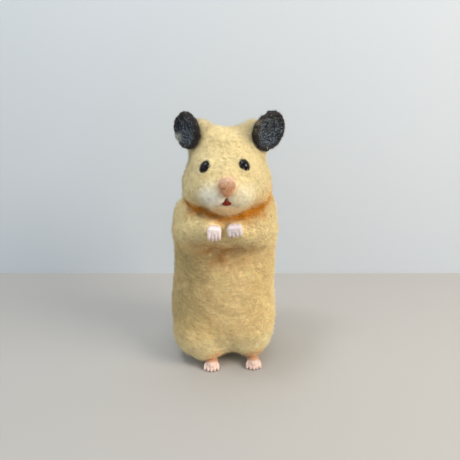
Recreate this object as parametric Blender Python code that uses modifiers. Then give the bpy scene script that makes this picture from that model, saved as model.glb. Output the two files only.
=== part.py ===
"""A needle-felted hamster that stands upright with both hands hooked before its chest.

The body, head, neck, arms, legs, ears, nose, mouth and tail are wool, the eyes are glass
beads, and the hands and feet are modelling clay. The wool body is worked as one form and then
parted with thin cuts. Lengths are metres in the scene and millimetres in this file. +Z is up,
the figure faces -Y, and its own left side is +X. The origin is the middle of its underside.
"""

import math

import bmesh
import bpy
from mathutils import Euler, Matrix, Vector

MM = 0.001

# Driving sizes, in millimetres. Heights are above the floor, depths run along Y.
SEAM = 0.3  # clearance between two touching pieces
SMOOTHING_LOSS = 0.2  # what the smoothing takes off the body all round
HEAD_MID = 0.6  # the head's own midline stands this far to the figure's left
JAW_HEIGHT = 82.6  # where the cut under the chin starts, at JAW_FRONT
JAW_FRONT = -31.0
JAW_RISE = 0.2  # how fast that cut rises towards the nape
NECK_HEIGHT = 78.8
NECK_RISE = 0.13
EYE_HALVES = (2.5, 2.8, 3.1)
EYE_LEAN = 27.0
EYE_TIP = -28.0
HAND_FRONT = -41.0
HAND_HEIGHT = 79.6
HAND_WIDTH = 6.2
FINGER_REACH = 3.7
FOOT_WIDTH = 7.8
TOE_FRONT = -23.6
HIP_TWIST = 0.9  # the left haunch sits this far back and up, the right one forward and down
EAR_THICKNESS = 1.8
WELD = 0.002  # points nearer than this are one point
CUT_ROOM = SEAM * 1.15  # what a cut leaves round a piece, as facets lie inside its curve
LARGE = 90.0  # half size of the blocks that part the body
SHARP_ANGLE = 40.0  # edges sharper than this are shaded as creases

# How finely each soft form is worked: voxel, rounds of smoothing, triangles, growth all round.
BODY_WORK = (0.8, 16, 2600, SMOOTHING_LOSS)
ARM_ROOM_WORK = (0.9, 4, 90, 1.4)
LEG_ROOM_WORK = (1.0, 4, 70, 0.9)
NOSE_WORK = (0.4, 3, 140, 0.0)
HAND_WORK = (0.28, 2, 380, 0.0)
FOOT_WORK = (0.3, 2, 400, 0.0)
TAIL_WORK = (0.5, 2, 110, 0.0)

# The trunk from the floor up: height, half width, front, back, sideways shift.
TRUNK_STATIONS = (
    (0.0, 10.0, 1.0, 13.0, -1.0),
    (1.6, 13.8, -6.0, 18.0, -1.0),
    (6.5, 21.4, -16.0, 22.8, -0.8),
    (18.0, 26.8, -20.8, 25.6, -1.2),
    (34.0, 26.1, -22.2, 24.4, -1.0),
    (50.0, 24.6, -21.8, 21.2, -0.5),
    (66.0, 24.8, -21.8, 18.2, -0.5),
    (78.0, 24.0, -20.5, 15.0, -0.2),
    (84.0, 21.2, -18.5, 13.0, 0.9),
    (90.0, 18.8, -14.0, 12.0, 1.0),
)

# Balls of wool needled together into the head: middle from its midline, and half sizes.
HEAD_BALLS = (
    ((0.0, -6.0, 98.0), (18.0, 18.0, 17.9)),  # crown
    ((0.0, -8.0, 91.4), (20.6, 18.5, 14.8)),  # cheeks
    ((0.0, -17.0, 96.0), (16.2, 14.4, 13.0)),  # face
    ((0.0, -26.0, 94.2), (11.0, 9.5, 8.2)),  # muzzle
    ((0.0, -27.0, 86.3), (9.4, 6.8, 4.8)),  # chin
)
HEAD_PAIRS = (
    ((5.5, -30.6, 91.8), (6.6, 6.2, 5.4)),  # whisker pads
    ((8.0, -22.6, 92.4), (9.0, 8.6, 8.4)),  # the fronts of the cheeks
    ((10.5, -16.0, 89.0), (9.0, 10.0, 8.0)),  # their lower edges
    ((11.5, -6.5, 109.2), (7.2, 7.0, 11.0)),  # mounds that the ears grow from
    ((6.0, -6.5, 107.6), (6.5, 7.0, 9.8)),  # the hollow slope between them
)

# An arm from the shoulder to the wrist: distance from its midline, that midline's shift,
# depth, height and radius.
ARM_STOPS = (
    (15.0, -0.4, -6.0, 69.5, 9.8),
    (14.5, -0.4, -17.0, 71.0, 9.2),
    (10.2, 0.0, -26.5, 73.8, 7.6),
    (5.4, -0.4, -33.0, 76.6, 5.0),
)
# Wool laid over the chest between and above the arms: middle from the midline, half sizes.
CHEST_BALL = ((-0.2, -28.5, 74.0), (7.5, 7.0, 7.5))
CHEST_PAIR = ((10.5, -19.5, 75.4), (9.6, 8.6, 7.4))
TAIL_STOPS = (((-1.0, 21.5, 9.5), 3.0), ((-1.0, 25.5, 7.8), 2.5), ((-1.0, 28.4, 7.2), 1.7))


def clear_scene():
    """Removes what Blender starts with."""
    for obj in list(bpy.data.objects):
        bpy.data.objects.remove(obj)


def collection(name):
    """A new collection in the scene."""
    made = bpy.data.collections.new(name)
    bpy.context.scene.collection.children.link(made)
    return made


def dress(figure, pieces, colour, roughness):
    """Gives each piece a material of its own and moves it into the figure's collection."""
    for piece in pieces:
        material = bpy.data.materials.new(piece.name)
        material.use_nodes = True
        shader = material.node_tree.nodes["Principled BSDF"]
        shader.inputs["Base Color"].default_value = (*colour, 1.0)
        shader.inputs["Roughness"].default_value = roughness
        shader.inputs["Metallic"].default_value = 0.0
        piece.data.materials.clear()
        piece.data.materials.append(material)
        piece.data.shade_smooth()
        piece.data.set_sharp_from_angle(angle=math.radians(SHARP_ANGLE))
        bpy.context.scene.collection.objects.unlink(piece)
        figure.objects.link(piece)


def linked(name, mesh):
    """The mesh as an object in the scene."""
    made = bpy.data.objects.new(name, mesh)
    bpy.context.scene.collection.objects.link(made)
    return made


def from_form(name, form, scale=1.0):
    """The bmesh form as an object, with its faces turned outwards."""
    bmesh.ops.scale(form, vec=(scale,) * 3, verts=form.verts)
    bmesh.ops.recalc_face_normals(form, faces=form.faces)
    mesh = bpy.data.meshes.new(name)
    form.to_mesh(mesh)
    form.free()
    return linked(name, mesh)


def baked(obj):
    """The object with its modifiers worked in, under the same name."""
    bpy.context.view_layer.update()
    graph = bpy.context.evaluated_depsgraph_get()
    mesh = bpy.data.meshes.new_from_object(obj.evaluated_get(graph))
    name = obj.name
    bpy.data.objects.remove(obj)
    form = bmesh.new()
    form.from_mesh(mesh)
    bmesh.ops.remove_doubles(form, verts=form.verts, dist=WELD * MM)
    bmesh.ops.dissolve_degenerate(form, edges=form.edges, dist=WELD * MM)
    return from_form(name, form)


def ball(name, middle, halves, turn=(0.0, 0.0, 0.0), spokes=24, rings=14):
    """An ellipsoid, turned by degrees about X, Y and Z."""
    form = bmesh.new()
    bmesh.ops.create_uvsphere(form, u_segments=spokes, v_segments=rings, radius=1.0)
    spin = Euler([math.radians(angle) for angle in turn]).to_matrix().to_4x4()
    matrix = Matrix.Translation(middle) @ spin @ Matrix.Diagonal((*halves, 1.0))
    bmesh.ops.transform(form, matrix=matrix, verts=form.verts)
    return from_form(name, form, MM)


def limb(name, stops):
    """A tapering rod through the stops, each a place and a radius, with round ends."""
    curve = bpy.data.curves.new(name, "CURVE")
    curve.dimensions = "3D"
    curve.bevel_depth = MM
    curve.bevel_resolution = 3
    curve.resolution_u = 6
    curve.use_fill_caps = True
    spline = curve.splines.new("BEZIER")
    spline.bezier_points.add(len(stops) - 1)
    for point, (place, radius) in zip(spline.bezier_points, stops):
        point.co = Vector(place) * MM
        point.radius = radius
        point.handle_left_type = point.handle_right_type = "AUTO"
    rod = baked(linked(name, curve))
    ends = [ball(name, place, (radius,) * 3, spokes=16, rings=10)
            for place, radius in (stops[0], stops[-1])]
    return [rod, *ends]


def fused(name, pieces, work):
    """The pieces worked into one form with soft hollows, as finely as work says."""
    voxel, rounds, triangles, swell = work
    form = bmesh.new()
    for piece in pieces:
        form.from_mesh(piece.data)
        bpy.data.objects.remove(piece)
    mesh = bpy.data.meshes.new(name)
    form.to_mesh(mesh)
    form.free()
    obj = linked(name, mesh)
    remesh = obj.modifiers.new("Remesh", "REMESH")
    remesh.mode = "VOXEL"
    remesh.voxel_size = voxel * MM
    smooth = obj.modifiers.new("Smooth", "SMOOTH")
    smooth.factor = 0.5
    smooth.iterations = rounds
    if swell:
        grow = obj.modifiers.new("Displace", "DISPLACE")
        grow.strength = swell * MM
        grow.mid_level = 0.0
    obj = baked(obj)
    thin = obj.modifiers.new("Decimate", "DECIMATE")
    thin.ratio = min(1.0, triangles / (2 * len(obj.data.polygons)))
    return baked(obj)


def measures_at(height):
    """The trunk's measures at this height, eased through its stations."""
    last = len(TRUNK_STATIONS) - 2
    step = next(i for i in range(last + 1) if height <= TRUNK_STATIONS[i + 1][0] or i == last)
    picks = [TRUNK_STATIONS[max(0, min(last + 1, step + k))] for k in (-1, 0, 1, 2)]
    share = (height - picks[1][0]) / (picks[2][0] - picks[1][0])
    found = []
    for before, low, high, after in list(zip(*picks))[1:]:
        leaving, arriving = (high - before) / 2, (after - low) / 2
        found.append(
            (2 * share**3 - 3 * share**2 + 1) * low
            + (share**3 - 2 * share**2 + share) * leaving
            + (3 * share**2 - 2 * share**3) * high
            + (share**3 - share**2) * arriving
        )
    return found


def make_trunk_form(rings=40, spokes=48, squareness=0.95):
    """The trunk as stacked rings, each a slightly squared oval."""
    form = bmesh.new()
    top = TRUNK_STATIONS[-1][0]
    loops = []
    for ring in range(rings):
        height = top * (1 - math.cos(math.pi * ring / (rings - 1))) / 2
        half, front, back, shift = measures_at(height)
        middle, depth = (front + back) / 2, (back - front) / 2
        loop = []
        for spoke in range(spokes):
            angle = 2 * math.pi * spoke / spokes
            across = math.copysign(abs(math.cos(angle)) ** squareness, math.cos(angle))
            along = math.copysign(abs(math.sin(angle)) ** squareness, math.sin(angle))
            loop.append(form.verts.new((shift + half * across, middle + depth * along, height)))
        loops.append(loop)
    for low, high in zip(loops, loops[1:]):
        for spoke in range(spokes):
            after = (spoke + 1) % spokes
            form.faces.new((low[spoke], low[after], high[after], high[spoke]))
    form.faces.new(loops[0])
    form.faces.new(loops[-1])
    return from_form("trunk_form", form, MM)


def arm_form(side):
    """One arm, from the shoulder forward and inward to the wrist."""
    stops = [((side * out + shift, depth, height), radius)
             for out, shift, depth, height, radius in ARM_STOPS]
    return limb("arm_form", stops)


def leg_form(side):
    """One haunch, a mound low on the trunk's front, and the knee over the foot."""
    back = side * HIP_TWIST
    return [
        ball("haunch", (side * 12.9 - 1.1, back - 8.0, 16.4 + back), (12.9, 14.2, 13.8)),
        ball("knee", (side * 11.0 + 1.6, back - 14.6, 8.6 + back), (8.0, 6.8, 7.0)),
    ]


def head_form():
    """The head's balls of wool."""
    pieces = [ball("head_ball", Vector(middle) + Vector((HEAD_MID, 0, 0)), halves)
              for middle, halves in HEAD_BALLS]
    for middle, halves in HEAD_PAIRS:
        for side in (-1, 1):
            place = (HEAD_MID + side * middle[0], *middle[1:])
            pieces.append(ball("head_ball", place, halves))
    return pieces


def chest_form():
    """The balls of wool on the chest, one behind the hands and one over each arm."""
    (out, depth, height), halves = CHEST_PAIR
    pieces = [ball("chest", *CHEST_BALL)]
    return pieces + [ball("chest", (side * out, depth, height), halves) for side in (-1, 1)]


def body_form():
    """The whole wool body in one piece."""
    pieces = [make_trunk_form(), *head_form(), *chest_form()]
    for side in (-1, 1):
        pieces += arm_form(side)
        pieces += leg_form(side)
    return fused("body", pieces, BODY_WORK)


def block(name, height, rise, front=JAW_FRONT):
    """A block whose underside starts at this height and rises towards the back."""
    form = bmesh.new()
    bmesh.ops.create_cube(form, size=2 * LARGE)
    tilt = Matrix.Rotation(math.atan(rise), 4, "X")
    corner = Matrix.Translation((0.0, front, height))
    lift = Matrix.Translation((0.0, 0.0, LARGE))
    bmesh.ops.transform(form, matrix=corner @ tilt @ lift, verts=form.verts)
    return from_form(name, form, MM)


def with_boolean(obj, other, operation):
    """The object cut by the other one, which is left as it is."""
    cut = obj.modifiers.new("Boolean", "BOOLEAN")
    cut.operation = operation
    cut.solver = "EXACT"
    cut.object = other
    return baked(obj)


def swollen(obj, amount):
    """A copy of the object, grown all round by this amount."""
    room = linked("room", obj.data.copy())
    grow = room.modifiers.new("Displace", "DISPLACE")
    grow.strength = amount * MM
    grow.mid_level = 0.0
    return baked(room)


def keep_biggest(obj):
    """Drops the crumbs that a cut leaves loose."""
    form = bmesh.new()
    form.from_mesh(obj.data)
    islands = []
    left = set(form.faces)
    while left:
        front = [left.pop()]
        island = list(front)
        while front:
            face = front.pop()
            for edge in face.edges:
                for beside in edge.link_faces:
                    if beside in left:
                        left.remove(beside)
                        front.append(beside)
                        island.append(beside)
        islands.append(island)
    islands.sort(key=len)
    crumbs = [face for island in islands[:-1] for face in island]
    bmesh.ops.delete(form, geom=crumbs, context="FACES")
    form.to_mesh(obj.data)
    form.free()
    return obj


def shared(name, whole, room):
    """What whole and room have in common, as a new piece under this name."""
    return keep_biggest(with_boolean(linked(name, whole.data.copy()), room, "INTERSECT"))


def carve(obj, *others):
    """Cuts from obj the room that each other piece takes, with the seam round it."""
    for other in others:
        room = swollen(other, CUT_ROOM)
        obj = with_boolean(obj, room, "DIFFERENCE")
        bpy.data.objects.remove(room)
    return keep_biggest(obj)


def make_ear(name, middle, halves, turn, cup):
    """A thick dish of felt.

    middle is the dish's own middle, halves its half width and half height, turn how far it
    leans back, tips sideways and faces outwards in degrees, and cup how deep it is.
    """
    form = bmesh.new()
    bmesh.ops.create_grid(form, x_segments=8, y_segments=8, size=1.0)
    for vert in form.verts:
        x, y = vert.co.x, vert.co.y
        across = x * math.sqrt(1 - y * y / 2)
        along = y * math.sqrt(1 - x * x / 2)
        reach = across**2 + along**2
        vert.co = (across * halves[0], cup * (1 - reach), along * halves[1])
    spin = Euler([math.radians(angle) for angle in turn], "YXZ").to_matrix().to_4x4()
    bmesh.ops.transform(form, matrix=Matrix.Translation(middle) @ spin, verts=form.verts)
    sheet = from_form(name, form, MM)
    shell = sheet.modifiers.new("Solidify", "SOLIDIFY")
    shell.thickness = EAR_THICKNESS * MM
    shell.offset = 0.0
    return baked(sheet)


def make_nose():
    """The felt nose, wide above and narrow below."""
    pieces = [
        ball("nose", (HEAD_MID + 0.2, -35.6, 97.0), (3.4, 2.6, 3.0)),
        ball("nose", (HEAD_MID + 0.2, -35.8, 95.4), (2.7, 2.3, 2.8)),
        ball("nose", (HEAD_MID + 0.2, -35.9, 94.2), (1.8, 1.9, 2.2)),
    ]
    return fused("nose", pieces, NOSE_WORK)


def make_hand(name, x, rise, lean):
    """One clay hand: a squarish back and four fingers that hook downwards."""
    knuckles = HAND_FRONT + 0.4
    height = HAND_HEIGHT + rise
    pieces = [
        ball("back", (x, knuckles + 2.6, height), (HAND_WIDTH / 2 + 0.1, 4.0, 2.2)),
        ball("back", (x, knuckles + 0.9, height - 0.4), (HAND_WIDTH / 2, 2.0, 2.3)),
    ]
    pitch = HAND_WIDTH / 4
    for finger in range(4):
        out = (finger - 1.5) * pitch
        reach = FINGER_REACH - 0.45 * abs(finger - 1.5)
        stops = (
            ((x + out, knuckles + 0.6, height + 0.9), 0.9),
            ((x + out, knuckles - 0.9, height - 0.4), 0.85),
            ((x + out * 0.95, knuckles - 0.9, height + 0.6 - reach), 0.55),
        )
        pieces += limb("finger", stops)
    hand = fused(name, pieces, HAND_WORK)
    pivot = Matrix.Translation(Vector((x, knuckles, height)) * MM)
    hand.data.transform(pivot @ Matrix.Rotation(math.radians(lean), 4, "Y") @ pivot.inverted())
    return hand


def make_foot(name, x, toe_front, turn):
    """One clay foot with five toes, flat underneath."""
    pieces = [
        ball("instep", (x, toe_front + 5.8, 2.7), (FOOT_WIDTH / 2 - 0.2, 5.0, 2.8)),
        ball("sole", (x, toe_front + 3.2, 1.7), (FOOT_WIDTH / 2 - 0.1, 2.6, 1.9)),
    ]
    pitch = FOOT_WIDTH / 5
    for toe in range(5):
        out = (toe - 2) * pitch
        back = 0.45 * abs(toe - 2) ** 1.5
        stops = (
            ((x + out * 0.8, toe_front + 3.6, 2.8), 0.9),
            ((x + out, toe_front + 1.4 + back, 1.9), 0.82),
            ((x + out * 1.05, toe_front + 0.5 + back, 0.55), 0.6),
        )
        pieces += limb("toe", stops)
    foot = fused(name, pieces, FOOT_WORK)
    pivot = Matrix.Translation(Vector((x, toe_front + 5.8, 0)) * MM)
    foot.data.transform(pivot @ Matrix.Rotation(math.radians(turn), 4, "Z") @ pivot.inverted())
    return foot


def make_tail():
    """The stub of a tail."""
    return fused("tail", limb("tail", TAIL_STOPS), TAIL_WORK)


def make_rooms():
    """The named rooms that part the body: head, neck, both arms and both legs."""
    rooms = [block("head_room", JAW_HEIGHT, JAW_RISE), block("neck_room", NECK_HEIGHT, NECK_RISE)]
    for name, side in (("right", -1), ("left", 1)):
        rooms.append(fused(f"arm_{name}_room", arm_form(side), ARM_ROOM_WORK))
    for name, side in (("right", -1), ("left", 1)):
        rooms.append(fused(f"leg_{name}_room", leg_form(side), LEG_ROOM_WORK))
    return rooms


def part_body(body, rooms):
    """Parts the body into head, neck, trunk, arms and legs, by node name."""
    head_room, neck_room, *limb_rooms = rooms
    parts = {"head": shared("head", body, head_room)}
    below = carve(body, head_room)
    parts["neck"] = carve(shared("neck", below, neck_room), *limb_rooms[:2])
    for i, room in enumerate(limb_rooms):
        name = room.name.removesuffix("_room")
        parts[name] = carve(shared(name, below, room), *limb_rooms[:i])
    parts["trunk"] = carve(below, neck_room, *limb_rooms)
    parts["trunk"].name = "trunk"
    return parts


def centre(pieces, rooms):
    """Moves everything sideways until the origin is under the middle of the figure's box."""
    corners = [vert.co for piece in pieces for vert in piece.data.vertices]
    middle = [(min(axis) + max(axis)) / 2 for axis in zip(*corners)]
    for obj in (*pieces, *rooms):
        obj.data.transform(Matrix.Translation((-middle[0], -middle[1], 0.0)))


def main():
    """Builds every piece, parts the body and sorts the pieces into their collections."""
    clear_scene()
    figure = collection("hamster_figure")
    hidden = collection("cutters")
    eyes = [
        ball("eye_right", (-8.0, -25.4, 101.6), EYE_HALVES, (EYE_TIP, EYE_LEAN, 0), 12, 8),
        ball("eye_left", (7.5, -26.0, 102.4), EYE_HALVES, (EYE_TIP, -EYE_LEAN, 0), 12, 8),
    ]
    nose = make_nose()
    mouth = ball("mouth", (HEAD_MID, -32.6, 89.2), (1.9, 2.2, 1.6), spokes=10, rings=6)
    ears = [
        make_ear("ear_right", (-17.3, -9.6, 115.0), (7.1, 8.6), (-8, -40, -42), 3.0),
        make_ear("ear_left", (19.3, -10.4, 114.9), (7.1, 9.2), (-8, 35, 24), 2.8),
    ]
    hands = [make_hand("hand_right", -4.3, -0.5, 0.0), make_hand("hand_left", 4.0, 0.4, -6.0)]
    feet = [
        make_foot("foot_right", -7.1, TOE_FRONT - 0.5, 0.0),
        make_foot("foot_left", 13.2, TOE_FRONT + 1.0, 4.0),
    ]
    tail = make_tail()

    above_floor = block("above_floor", 0.0, 0.0)
    feet = [with_boolean(foot, above_floor, "INTERSECT") for foot in feet]
    rooms = make_rooms()
    parts = part_body(with_boolean(body_form(), above_floor, "INTERSECT"), rooms)
    parts["head"] = carve(parts["head"], *eyes, nose, mouth, *ears)
    for i, side in enumerate(("right", "left")):
        parts["arm_" + side] = carve(parts["arm_" + side], hands[i])
        parts["leg_" + side] = carve(parts["leg_" + side], feet[i])
    parts["trunk"] = carve(parts["trunk"], *feet, tail)

    centre([*parts.values(), tail, *ears, nose, mouth, *eyes, *hands, *feet], rooms)
    dress(figure, [*parts.values(), tail], (0.62, 0.46, 0.22), 0.95)
    dress(figure, ears, (0.035, 0.038, 0.045), 0.95)
    dress(figure, [nose], (0.60, 0.30, 0.22), 0.9)
    dress(figure, [mouth], (0.12, 0.012, 0.008), 0.8)
    dress(figure, eyes, (0.004, 0.004, 0.005), 0.06)
    dress(figure, hands + feet, (0.80, 0.62, 0.60), 0.5)
    for room in (above_floor, *rooms):
        hidden.objects.link(room)
        bpy.context.scene.collection.objects.unlink(room)
        room.hide_render = True
        room.display_type = "WIRE"


main()
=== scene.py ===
"""Looks of a needle-felted hamster that stands with both hands hooked before its chest.

One wool skin takes the place of the parted body, and loose fibres lie over it as solid strands.
Lengths are millimetres in this file and become metres where a mesh is made. +Z is up, the
figure faces -Y, and its own left side is +X. Colours are linear. Points, ways and colours
come one to a row.
"""

import logging
import math
from dataclasses import dataclass
from enum import Enum
from typing import Callable

import bmesh
import bpy
import numpy as np
from mathutils import Matrix, Vector
from mathutils.bvhtree import BVHTree


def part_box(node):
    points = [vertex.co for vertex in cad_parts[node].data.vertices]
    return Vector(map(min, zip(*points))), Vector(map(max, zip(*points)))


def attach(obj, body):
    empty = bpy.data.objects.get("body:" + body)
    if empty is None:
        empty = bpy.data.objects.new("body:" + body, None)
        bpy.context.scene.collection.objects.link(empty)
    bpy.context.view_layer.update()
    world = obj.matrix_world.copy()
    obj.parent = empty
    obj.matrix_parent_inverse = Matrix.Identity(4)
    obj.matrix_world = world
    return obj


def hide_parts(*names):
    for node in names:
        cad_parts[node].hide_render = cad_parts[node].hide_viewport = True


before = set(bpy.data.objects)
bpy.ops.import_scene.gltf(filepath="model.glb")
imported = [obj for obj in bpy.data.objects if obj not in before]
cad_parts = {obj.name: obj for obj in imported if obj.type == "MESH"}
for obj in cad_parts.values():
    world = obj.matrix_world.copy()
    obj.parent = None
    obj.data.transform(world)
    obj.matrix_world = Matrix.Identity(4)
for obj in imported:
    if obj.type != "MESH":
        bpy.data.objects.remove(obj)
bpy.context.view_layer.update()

MM = 0.001
COLOUR = "wool_colour"  # the colours that are stored at a mesh's points
BAKE_MAP = "OFBake"
PATCH = 0.003  # how much of the unwrap one strand takes
PIECE_TRIANGLES = 190_000
SOFTNESS = 0.38  # how far a strand is shaded as the wool under it
FLESH = ("head", "neck", "trunk", "arm_left", "arm_right", "leg_left", "leg_right", "tail")
PLUGS = ("eye_left", "eye_right", "nose", "mouth")  # the skin is filled in behind these

Rows = np.ndarray
Place = tuple[float, float, float]
Mask = Callable[[Rows], Rows]  # points to one value each
Tint = Callable[[Rows], Rows]  # points to colours
Heading = Callable[[Rows, Rows], Rows]  # roots and outward ways to angles over the horizontal
Socket = bpy.types.NodeSocket
Inputs = dict[str | int, object]  # values, or other nodes' outputs, by an input's name or number
Material = bpy.types.Material
Mesh = bpy.types.Mesh
Thing = bpy.types.Object
Form = bmesh.types.BMesh

log = logging.getLogger("hamster")
logging.basicConfig(level=logging.INFO, format="%(name)s: %(message)s")


class Side(Enum):
    """The figure's own sides, with the way that each one lies along X."""

    RIGHT = -1
    LEFT = 1

    def node(self, part: str) -> str:
        """The name of this side's piece, such as ear_left."""
        return f"{part}_{self.name.lower()}"


class Slot(Enum):
    """The record's material slots."""

    CREAM_WOOL = "cream_wool"
    CHARCOAL_WOOL = "charcoal_wool"
    PINK_WOOL = "pink_wool"
    DARK_RED_WOOL = "dark_red_wool"
    BLACK_BEAD = "black_bead"
    PALE_CLAY = "pale_pink_clay"


class Dye(Enum):
    """The figure's colours: red, green and blue from 0 to 255, as a screen shows them."""

    BELLY = (250, 221, 165)
    FLANK = (241, 213, 155)
    # painted shade: a darker tone for the figure's right flank, which faces away from the key lamp
    DUSK = (196, 176, 122)
    HEM = (255, 234, 184)
    ARM = (237, 216, 162)
    HEAD = (235, 217, 166)
    # the two muzzle pads are one white wool: painted bluer for the cool shade on the figure's right,
    # yellower for the warm key light on its left
    MUZZLE = (251, 251, 243)
    CREAM = (254, 246, 218)
    PEACH = (232, 196, 158)
    # the chin's peach tone, darkened further as painted shade under the muzzle
    CHIN = (242, 214, 168)
    APRICOT = (236, 176, 98)
    AMBER = (212, 136, 4)
    # painted shade: the brown laid under the arms, where they overhang the belly
    RUSSET = (214, 154, 84)
    ANKLE = (228, 178, 122)
    SMOKE = (164, 154, 128)
    # brown of the fibres round the eyes, also used as painted shade round each bead and in the
    # grooves under the nose and along the mouth
    LID = (92, 78, 58)
    GLASS = (12, 9, 9)
    NOSE = (234, 180, 138)
    # painted light: the paler tone of the nose's top, which faces the lamps above
    NOSE_TOP = (242, 206, 178)
    # the nostrils' brown, also painted as shade along the nose's underside
    NOSTRIL = (142, 92, 62)
    MOUTH = (132, 40, 30)
    MOUTH_TOP = (120, 70, 48)
    EAR_SLATE = (47, 59, 71)
    EAR_INK = (61, 55, 52)
    EAR_FROST = (200, 198, 188)
    EAR_PALE = (184, 195, 204)
    HAND_RIGHT = (234, 220, 218)
    # painted shade: the same clay as the right hand, laid greyer
    HAND_LEFT = (214, 202, 202)
    # the pink blush of fingertips and wrist, also laid darker as painted shade between the fingers
    HAND_BLUSH = (214, 172, 168)
    FOOT = (241, 214, 201)
    FOOT_TOP = (200, 148, 106)
    # painted shade: the darker tint laid in the gaps between the toes
    FOOT_CREASE = (206, 156, 136)
    FLOOR = (180, 178, 175)
    WALL = (208, 216, 224)

    @property
    def light(self) -> Rows:
        """The colour's three linear values."""
        screen = np.array(self.value) / 255
        return np.where(screen <= 0.04045, screen / 12.92, ((screen + 0.055) / 1.055) ** 2.4)

    def over(self, under: Rows, share: Rows, tone: Rows | float = 1.0) -> Rows:
        """The colour laid over others, by a share for each point and in a lighter or darker tone."""
        share = np.clip(share, 0, 1)[:, None]
        return under * (1 - share) + self.light * tone * share


def box_of(node: str) -> tuple[Rows, Rows]:
    """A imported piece's lowest and highest corner, in millimetres."""
    low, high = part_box(node)
    return np.array(low) / MM, np.array(high) / MM


def unit(vectors: Rows) -> Rows:
    """The vectors, each with length 1."""
    return vectors / np.maximum(np.linalg.norm(vectors, axis=-1, keepdims=True), 1e-9)


def bell(distance: Rows, width: float) -> Rows:
    """A soft hump that is 1 where distance is 0 and fades over width."""
    return np.exp(-((distance / width) ** 2))


def eased(value: Rows, start: float, end: float) -> Rows:
    """0 before start, 1 after end and a smooth rise between them; end may be the lower one."""
    share = np.clip((value - start) / (end - start), 0, 1)
    return share * share * (3 - 2 * share)


def off(points: Rows, middle: Rows | Place, halves: Place = (1.0, 1.0, 1.0)) -> Rows:
    """How far each point lies from a middle, counted in half sizes along each axis."""
    return np.linalg.norm((points - middle) / halves, axis=1)


def everywhere(points: Rows) -> Rows:
    """True at each point, for strands that grow and may pass anywhere."""
    return np.ones(len(points), bool)


@dataclass(frozen=True)
class Waves:
    """A smooth random field: many slanted waves of about one length, added up."""

    length: float
    seed: int
    count: int = 24

    def at(self, points: Rows) -> Rows:
        """The field's value at each point, about 1 either way.

        Args:
            points: the points.

        Returns:
            One value for each point.
        """
        draw = np.random.default_rng(self.seed)
        ways = unit(draw.normal(size=(self.count, 3)))
        pitch = self.length * draw.uniform(0.7, 1.4, self.count)
        start = draw.uniform(0, 2 * math.pi, self.count)
        turns = points @ (ways * 2 * math.pi / pitch[:, None]).T + start
        return np.sin(turns).sum(1) / math.sqrt(self.count / 2)


# ---- meshes


def gathered(items: object, key: str, width: int, kind: type = np.float32) -> Rows:
    """Reads one value of each item in a mesh's list.

    Args:
        items: the list.
        key: the value's name.
        width: how many numbers the value has.
        kind: the numbers' type.

    Returns:
        The values, one to a row.
    """
    flat = np.zeros(len(items) * width, kind)
    items.foreach_get(key, flat)
    return flat.reshape(-1, width)


def points_of(mesh: Mesh) -> Rows:
    """The mesh's points in millimetres."""
    return gathered(mesh.vertices, "co", 3).astype(float) / MM


def normals_of(mesh: Mesh) -> Rows:
    """The outward way at each of the mesh's points."""
    return gathered(mesh.vertex_normals, "vector", 3).astype(float)


def set_points(mesh: Mesh, points: Rows) -> None:
    """Moves the mesh's points to new places, in millimetres."""
    mesh.vertices.foreach_set("co", (points * MM).astype(np.float32).ravel())
    mesh.update()


def paint(mesh: Mesh, colours: Rows) -> None:
    """Stores a colour at each point of the mesh.

    Args:
        mesh: the mesh.
        colours: the colours.
    """
    layer = mesh.attributes.new(COLOUR, "FLOAT_COLOR", "POINT")
    full = np.ones((len(colours), 4), np.float32)
    full[:, :3] = np.clip(colours, 0, 1)
    layer.data.foreach_set("color", full.ravel())


def placed(name: str, mesh: Mesh) -> Thing:
    """The mesh as an object in the scene.

    Args:
        name: the object's name.
        mesh: the mesh.

    Returns:
        The object.
    """
    made = bpy.data.objects.new(name, mesh)
    bpy.context.scene.collection.objects.link(made)
    return made


def mesh_of(name: str, form: Form) -> Mesh:
    """The form as a mesh.

    Args:
        name: the mesh's name.
        form: the form, which is used up.

    Returns:
        The mesh.
    """
    mesh = bpy.data.meshes.new(name)
    form.to_mesh(mesh)
    form.free()
    return mesh


def add_node(form: Form, node: str, swell: float) -> None:
    """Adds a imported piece's shape to the form.

    Args:
        form: what it is added to.
        node: the piece's name.
        swell: how far it grows all round, in millimetres.
    """
    own = bmesh.new()
    own.from_mesh(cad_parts[node].data)
    bmesh.ops.remove_doubles(own, verts=own.verts, dist=0.005 * MM)
    own.normal_update()
    ways = [vert.normal.copy() for vert in own.verts]
    for vert, way in zip(own.verts, ways):
        vert.co += way * swell * MM
    mesh = mesh_of("copy", own)
    form.from_mesh(mesh)
    bpy.data.meshes.remove(mesh)


def add_ball(form: Form, middle: Place, halves: Place, fineness: int = 3) -> None:
    """Adds a ball, squashed or not, to the form.

    Args:
        form: what it is added to.
        middle: its middle.
        halves: its half sizes.
        fineness: how often its faces are split.
    """
    size = Matrix.Diagonal((*(Vector(halves) * MM), 1.0))
    place = Matrix.Translation(Vector(middle) * MM) @ size
    bmesh.ops.create_icosphere(form, subdivisions=fineness, radius=1.0, matrix=place)


def add_rod(form: Form, stops: list[tuple[Place, float]]) -> None:
    """Adds a bent, tapering rod to the form, as a close row of balls.

    Args:
        form: what it is added to.
        stops: places and radii along the rod.
    """
    for (start, thick), (end, thin) in zip(stops[:-1], stops[1:]):
        span = math.dist(start, end)
        steps = max(2, round(span / (0.3 * min(thick, thin))))
        for step in range(steps + 1):
            share = step / steps
            radius = thick + (thin - thick) * share
            add_ball(form, Vector(start).lerp(Vector(end), share), (radius,) * 3, fineness=2)


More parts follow.
